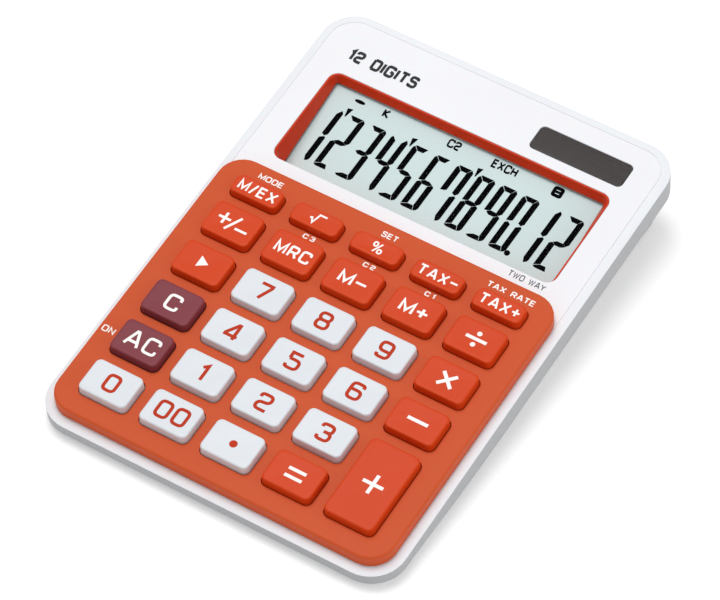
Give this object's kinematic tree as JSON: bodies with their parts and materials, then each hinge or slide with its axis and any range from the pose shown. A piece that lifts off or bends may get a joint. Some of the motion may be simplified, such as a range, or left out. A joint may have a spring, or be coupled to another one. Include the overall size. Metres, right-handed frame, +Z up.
{
  "type": "desk calculator",
  "caption": "Wedge-shaped desk calculator: white tilted case over a grey base, raised orange keyboard with sprung keys, framed LCD recess and a solar window.",
  "frame": {"origin": "on the ground, under the middle of the calculator's outer box", "axes": "+X to the user's right, +Y from the user to the rear, +Z up; the deck rises 6.8 degrees towards +Y"},
  "size_m": [0.105, 0.1494, 0.0227],
  "materials": {
    "case_white": "smooth white ABS, satin gloss",
    "panel_orange": "fine-textured orange-red ABS",
    "case_grey": "fine-textured light grey ABS",
    "frame_orange": "smooth orange-red ABS",
    "clear_lens": "clear acrylic",
    "lcd_film": "polarising film",
    "lcd_glass": "reflective display glass, pale mint grey",
    "foil": "diffuse reflector",
    "holder_white": "plain moulded",
    "ribbon_film": "amber film with printed tracks",
    "solar_lens": "tinted acrylic",
    "solar_dark": "amorphous silicon on glass, brown black",
    "lead_red": "PVC insulation",
    "lead_black": "PVC insulation",
    "keypad_rubber": "silicone rubber",
    "carbon_rubber": "carbon-filled rubber",
    "board_green": "solder mask on phenolic board",
    "epoxy_black": "black epoxy",
    "can_blue": "sleeved can",
    "ceramic": "ceramic body, tinned ends",
    "diode_red": "tinted epoxy",
    "cell_steel": "stamped steel can",
    "contact_metal": "plated spring strip",
    "screw_steel": "zinc plated",
    "foot_rubber": "moulded rubber, matt",
    "key_white": "white ABS with printed orange legend",
    "key_orange": "orange-red ABS with printed white legend",
    "key_plum": "plum ABS with printed white legend"
  },
  "bodies": {
    "casing": {"top_case": "case_white", "key_panel": "panel_orange", "back_case": "case_grey", "display_frame": "frame_orange", "display_window": "clear_lens", "front_polariser": "lcd_film", "lcd_glass": "lcd_glass", "rear_reflector": "foil", "lcd_holder": "holder_white", "lcd_ribbon": "ribbon_film", "solar_window": "solar_lens", "solar_cell": "solar_dark", "solar_lead_red": "lead_red", "solar_lead_black": "lead_black", "rubber_keypad": "keypad_rubber", "contact_pills": "carbon_rubber", "main_board": "board_green", "chip_cover": "epoxy_black", "storage_capacitor": "can_blue", "chip_capacitors": "ceramic", "chip_resistors": "epoxy_black", "clamp_diode": "diode_red", "button_cell": "cell_steel", "cell_contact_plus": "contact_metal", "cell_contact_minus": "contact_metal", "board_screws": "screw_steel", "case_screws": "screw_steel", "rubber_feet": "foot_rubber"},
    "key_0_body": {"key_0": "key_white"},
    "key_00_body": {"key_00": "key_white"},
    "key_point_body": {"key_point": "key_white"},
    "key_equals_body": {"key_equals": "key_orange"},
    "key_ac_body": {"key_ac": "key_plum"},
    "key_1_body": {"key_1": "key_white"},
    "key_2_body": {"key_2": "key_white"},
    "key_3_body": {"key_3": "key_white"},
    "key_plus_body": {"key_plus": "key_orange"},
    "key_c_body": {"key_c": "key_plum"},
    "key_4_body": {"key_4": "key_white"},
    "key_5_body": {"key_5": "key_white"},
    "key_6_body": {"key_6": "key_white"},
    "key_minus_body": {"key_minus": "key_orange"},
    "key_shift_body": {"key_shift": "key_orange"},
    "key_7_body": {"key_7": "key_white"},
    "key_8_body": {"key_8": "key_white"},
    "key_9_body": {"key_9": "key_white"},
    "key_multiply_body": {"key_multiply": "key_orange"},
    "key_sign_body": {"key_sign": "key_orange"},
    "key_memory_recall_body": {"key_memory_recall": "key_orange"},
    "key_memory_minus_body": {"key_memory_minus": "key_orange"},
    "key_memory_plus_body": {"key_memory_plus": "key_orange"},
    "key_divide_body": {"key_divide": "key_orange"},
    "key_exchange_body": {"key_exchange": "key_orange"},
    "key_root_body": {"key_root": "key_orange"},
    "key_percent_body": {"key_percent": "key_orange"},
    "key_tax_minus_body": {"key_tax_minus": "key_orange"},
    "key_tax_plus_body": {"key_tax_plus": "key_orange"}
  },
  "joints": [
    {"name": "key_0_press", "type": "slide", "parent": "casing", "child": "key_0_body", "axis": [0, 0.1184, -0.993], "range_m": [0, 0.0014], "stiffness_N_per_m": 420, "deforming": ["rubber_keypad", "contact_pills"]},
    {"name": "key_00_press", "type": "slide", "parent": "casing", "child": "key_00_body", "axis": [0, 0.1184, -0.993], "range_m": [0, 0.0014], "stiffness_N_per_m": 420, "deforming": ["rubber_keypad", "contact_pills"]},
    {"name": "key_point_press", "type": "slide", "parent": "casing", "child": "key_point_body", "axis": [0, 0.1184, -0.993], "range_m": [0, 0.0014], "stiffness_N_per_m": 420, "deforming": ["rubber_keypad", "contact_pills"]},
    {"name": "key_equals_press", "type": "slide", "parent": "casing", "child": "key_equals_body", "axis": [0, 0.1184, -0.993], "range_m": [0, 0.0014], "stiffness_N_per_m": 420, "deforming": ["rubber_keypad", "contact_pills"]},
    {"name": "key_ac_press", "type": "slide", "parent": "casing", "child": "key_ac_body", "axis": [0, 0.1184, -0.993], "range_m": [0, 0.0014], "stiffness_N_per_m": 420, "deforming": ["rubber_keypad", "contact_pills"]},
    {"name": "key_1_press", "type": "slide", "parent": "casing", "child": "key_1_body", "axis": [0, 0.1184, -0.993], "range_m": [0, 0.0014], "stiffness_N_per_m": 420, "deforming": ["rubber_keypad", "contact_pills"]},
    {"name": "key_2_press", "type": "slide", "parent": "casing", "child": "key_2_body", "axis": [0, 0.1184, -0.993], "range_m": [0, 0.0014], "stiffness_N_per_m": 420, "deforming": ["rubber_keypad", "contact_pills"]},
    {"name": "key_3_press", "type": "slide", "parent": "casing", "child": "key_3_body", "axis": [0, 0.1184, -0.993], "range_m": [0, 0.0014], "stiffness_N_per_m": 420, "deforming": ["rubber_keypad", "contact_pills"]},
    {"name": "key_plus_press", "type": "slide", "parent": "casing", "child": "key_plus_body", "axis": [0, 0.1184, -0.993], "range_m": [0, 0.0014], "stiffness_N_per_m": 420, "deforming": ["rubber_keypad", "contact_pills"]},
    {"name": "key_c_press", "type": "slide", "parent": "casing", "child": "key_c_body", "axis": [0, 0.1184, -0.993], "range_m": [0, 0.0014], "stiffness_N_per_m": 420, "deforming": ["rubber_keypad", "contact_pills"]},
    {"name": "key_4_press", "type": "slide", "parent": "casing", "child": "key_4_body", "axis": [0, 0.1184, -0.993], "range_m": [0, 0.0014], "stiffness_N_per_m": 420, "deforming": ["rubber_keypad", "contact_pills"]},
    {"name": "key_5_press", "type": "slide", "parent": "casing", "child": "key_5_body", "axis": [0, 0.1184, -0.993], "range_m": [0, 0.0014], "stiffness_N_per_m": 420, "deforming": ["rubber_keypad", "contact_pills"]},
    {"name": "key_6_press", "type": "slide", "parent": "casing", "child": "key_6_body", "axis": [0, 0.1184, -0.993], "range_m": [0, 0.0014], "stiffness_N_per_m": 420, "deforming": ["rubber_keypad", "contact_pills"]},
    {"name": "key_minus_press", "type": "slide", "parent": "casing", "child": "key_minus_body", "axis": [0, 0.1184, -0.993], "range_m": [0, 0.0014], "stiffness_N_per_m": 420, "deforming": ["rubber_keypad", "contact_pills"]},
    {"name": "key_shift_press", "type": "slide", "parent": "casing", "child": "key_shift_body", "axis": [0, 0.1184, -0.993], "range_m": [0, 0.0014], "stiffness_N_per_m": 420, "deforming": ["rubber_keypad", "contact_pills"]},
    {"name": "key_7_press", "type": "slide", "parent": "casing", "child": "key_7_body", "axis": [0, 0.1184, -0.993], "range_m": [0, 0.0014], "stiffness_N_per_m": 420, "deforming": ["rubber_keypad", "contact_pills"]},
    {"name": "key_8_press", "type": "slide", "parent": "casing", "child": "key_8_body", "axis": [0, 0.1184, -0.993], "range_m": [0, 0.0014], "stiffness_N_per_m": 420, "deforming": ["rubber_keypad", "contact_pills"]},
    {"name": "key_9_press", "type": "slide", "parent": "casing", "child": "key_9_body", "axis": [0, 0.1184, -0.993], "range_m": [0, 0.0014], "stiffness_N_per_m": 420, "deforming": ["rubber_keypad", "contact_pills"]},
    {"name": "key_multiply_press", "type": "slide", "parent": "casing", "child": "key_multiply_body", "axis": [0, 0.1184, -0.993], "range_m": [0, 0.0014], "stiffness_N_per_m": 420, "deforming": ["rubber_keypad", "contact_pills"]},
    {"name": "key_sign_press", "type": "slide", "parent": "casing", "child": "key_sign_body", "axis": [0, 0.1184, -0.993], "range_m": [0, 0.0014], "stiffness_N_per_m": 420, "deforming": ["rubber_keypad", "contact_pills"]},
    {"name": "key_memory_recall_press", "type": "slide", "parent": "casing", "child": "key_memory_recall_body", "axis": [0, 0.1184, -0.993], "range_m": [0, 0.0014], "stiffness_N_per_m": 420, "deforming": ["rubber_keypad", "contact_pills"]},
    {"name": "key_memory_minus_press", "type": "slide", "parent": "casing", "child": "key_memory_minus_body", "axis": [0, 0.1184, -0.993], "range_m": [0, 0.0014], "stiffness_N_per_m": 420, "deforming": ["rubber_keypad", "contact_pills"]},
    {"name": "key_memory_plus_press", "type": "slide", "parent": "casing", "child": "key_memory_plus_body", "axis": [0, 0.1184, -0.993], "range_m": [0, 0.0014], "stiffness_N_per_m": 420, "deforming": ["rubber_keypad", "contact_pills"]},
    {"name": "key_divide_press", "type": "slide", "parent": "casing", "child": "key_divide_body", "axis": [0, 0.1184, -0.993], "range_m": [0, 0.0014], "stiffness_N_per_m": 420, "deforming": ["rubber_keypad", "contact_pills"]},
    {"name": "key_exchange_press", "type": "slide", "parent": "casing", "child": "key_exchange_body", "axis": [0, 0.1184, -0.993], "range_m": [0, 0.0014], "stiffness_N_per_m": 420, "deforming": ["rubber_keypad", "contact_pills"]},
    {"name": "key_root_press", "type": "slide", "parent": "casing", "child": "key_root_body", "axis": [0, 0.1184, -0.993], "range_m": [0, 0.0014], "stiffness_N_per_m": 420, "deforming": ["rubber_keypad", "contact_pills"]},
    {"name": "key_percent_press", "type": "slide", "parent": "casing", "child": "key_percent_body", "axis": [0, 0.1184, -0.993], "range_m": [0, 0.0014], "stiffness_N_per_m": 420, "deforming": ["rubber_keypad", "contact_pills"]},
    {"name": "key_tax_minus_press", "type": "slide", "parent": "casing", "child": "key_tax_minus_body", "axis": [0, 0.1184, -0.993], "range_m": [0, 0.0014], "stiffness_N_per_m": 420, "deforming": ["rubber_keypad", "contact_pills"]},
    {"name": "key_tax_plus_press", "type": "slide", "parent": "casing", "child": "key_tax_plus_body", "axis": [0, 0.1184, -0.993], "range_m": [0, 0.0014], "stiffness_N_per_m": 420, "deforming": ["rubber_keypad", "contact_pills"]}
  ]
}
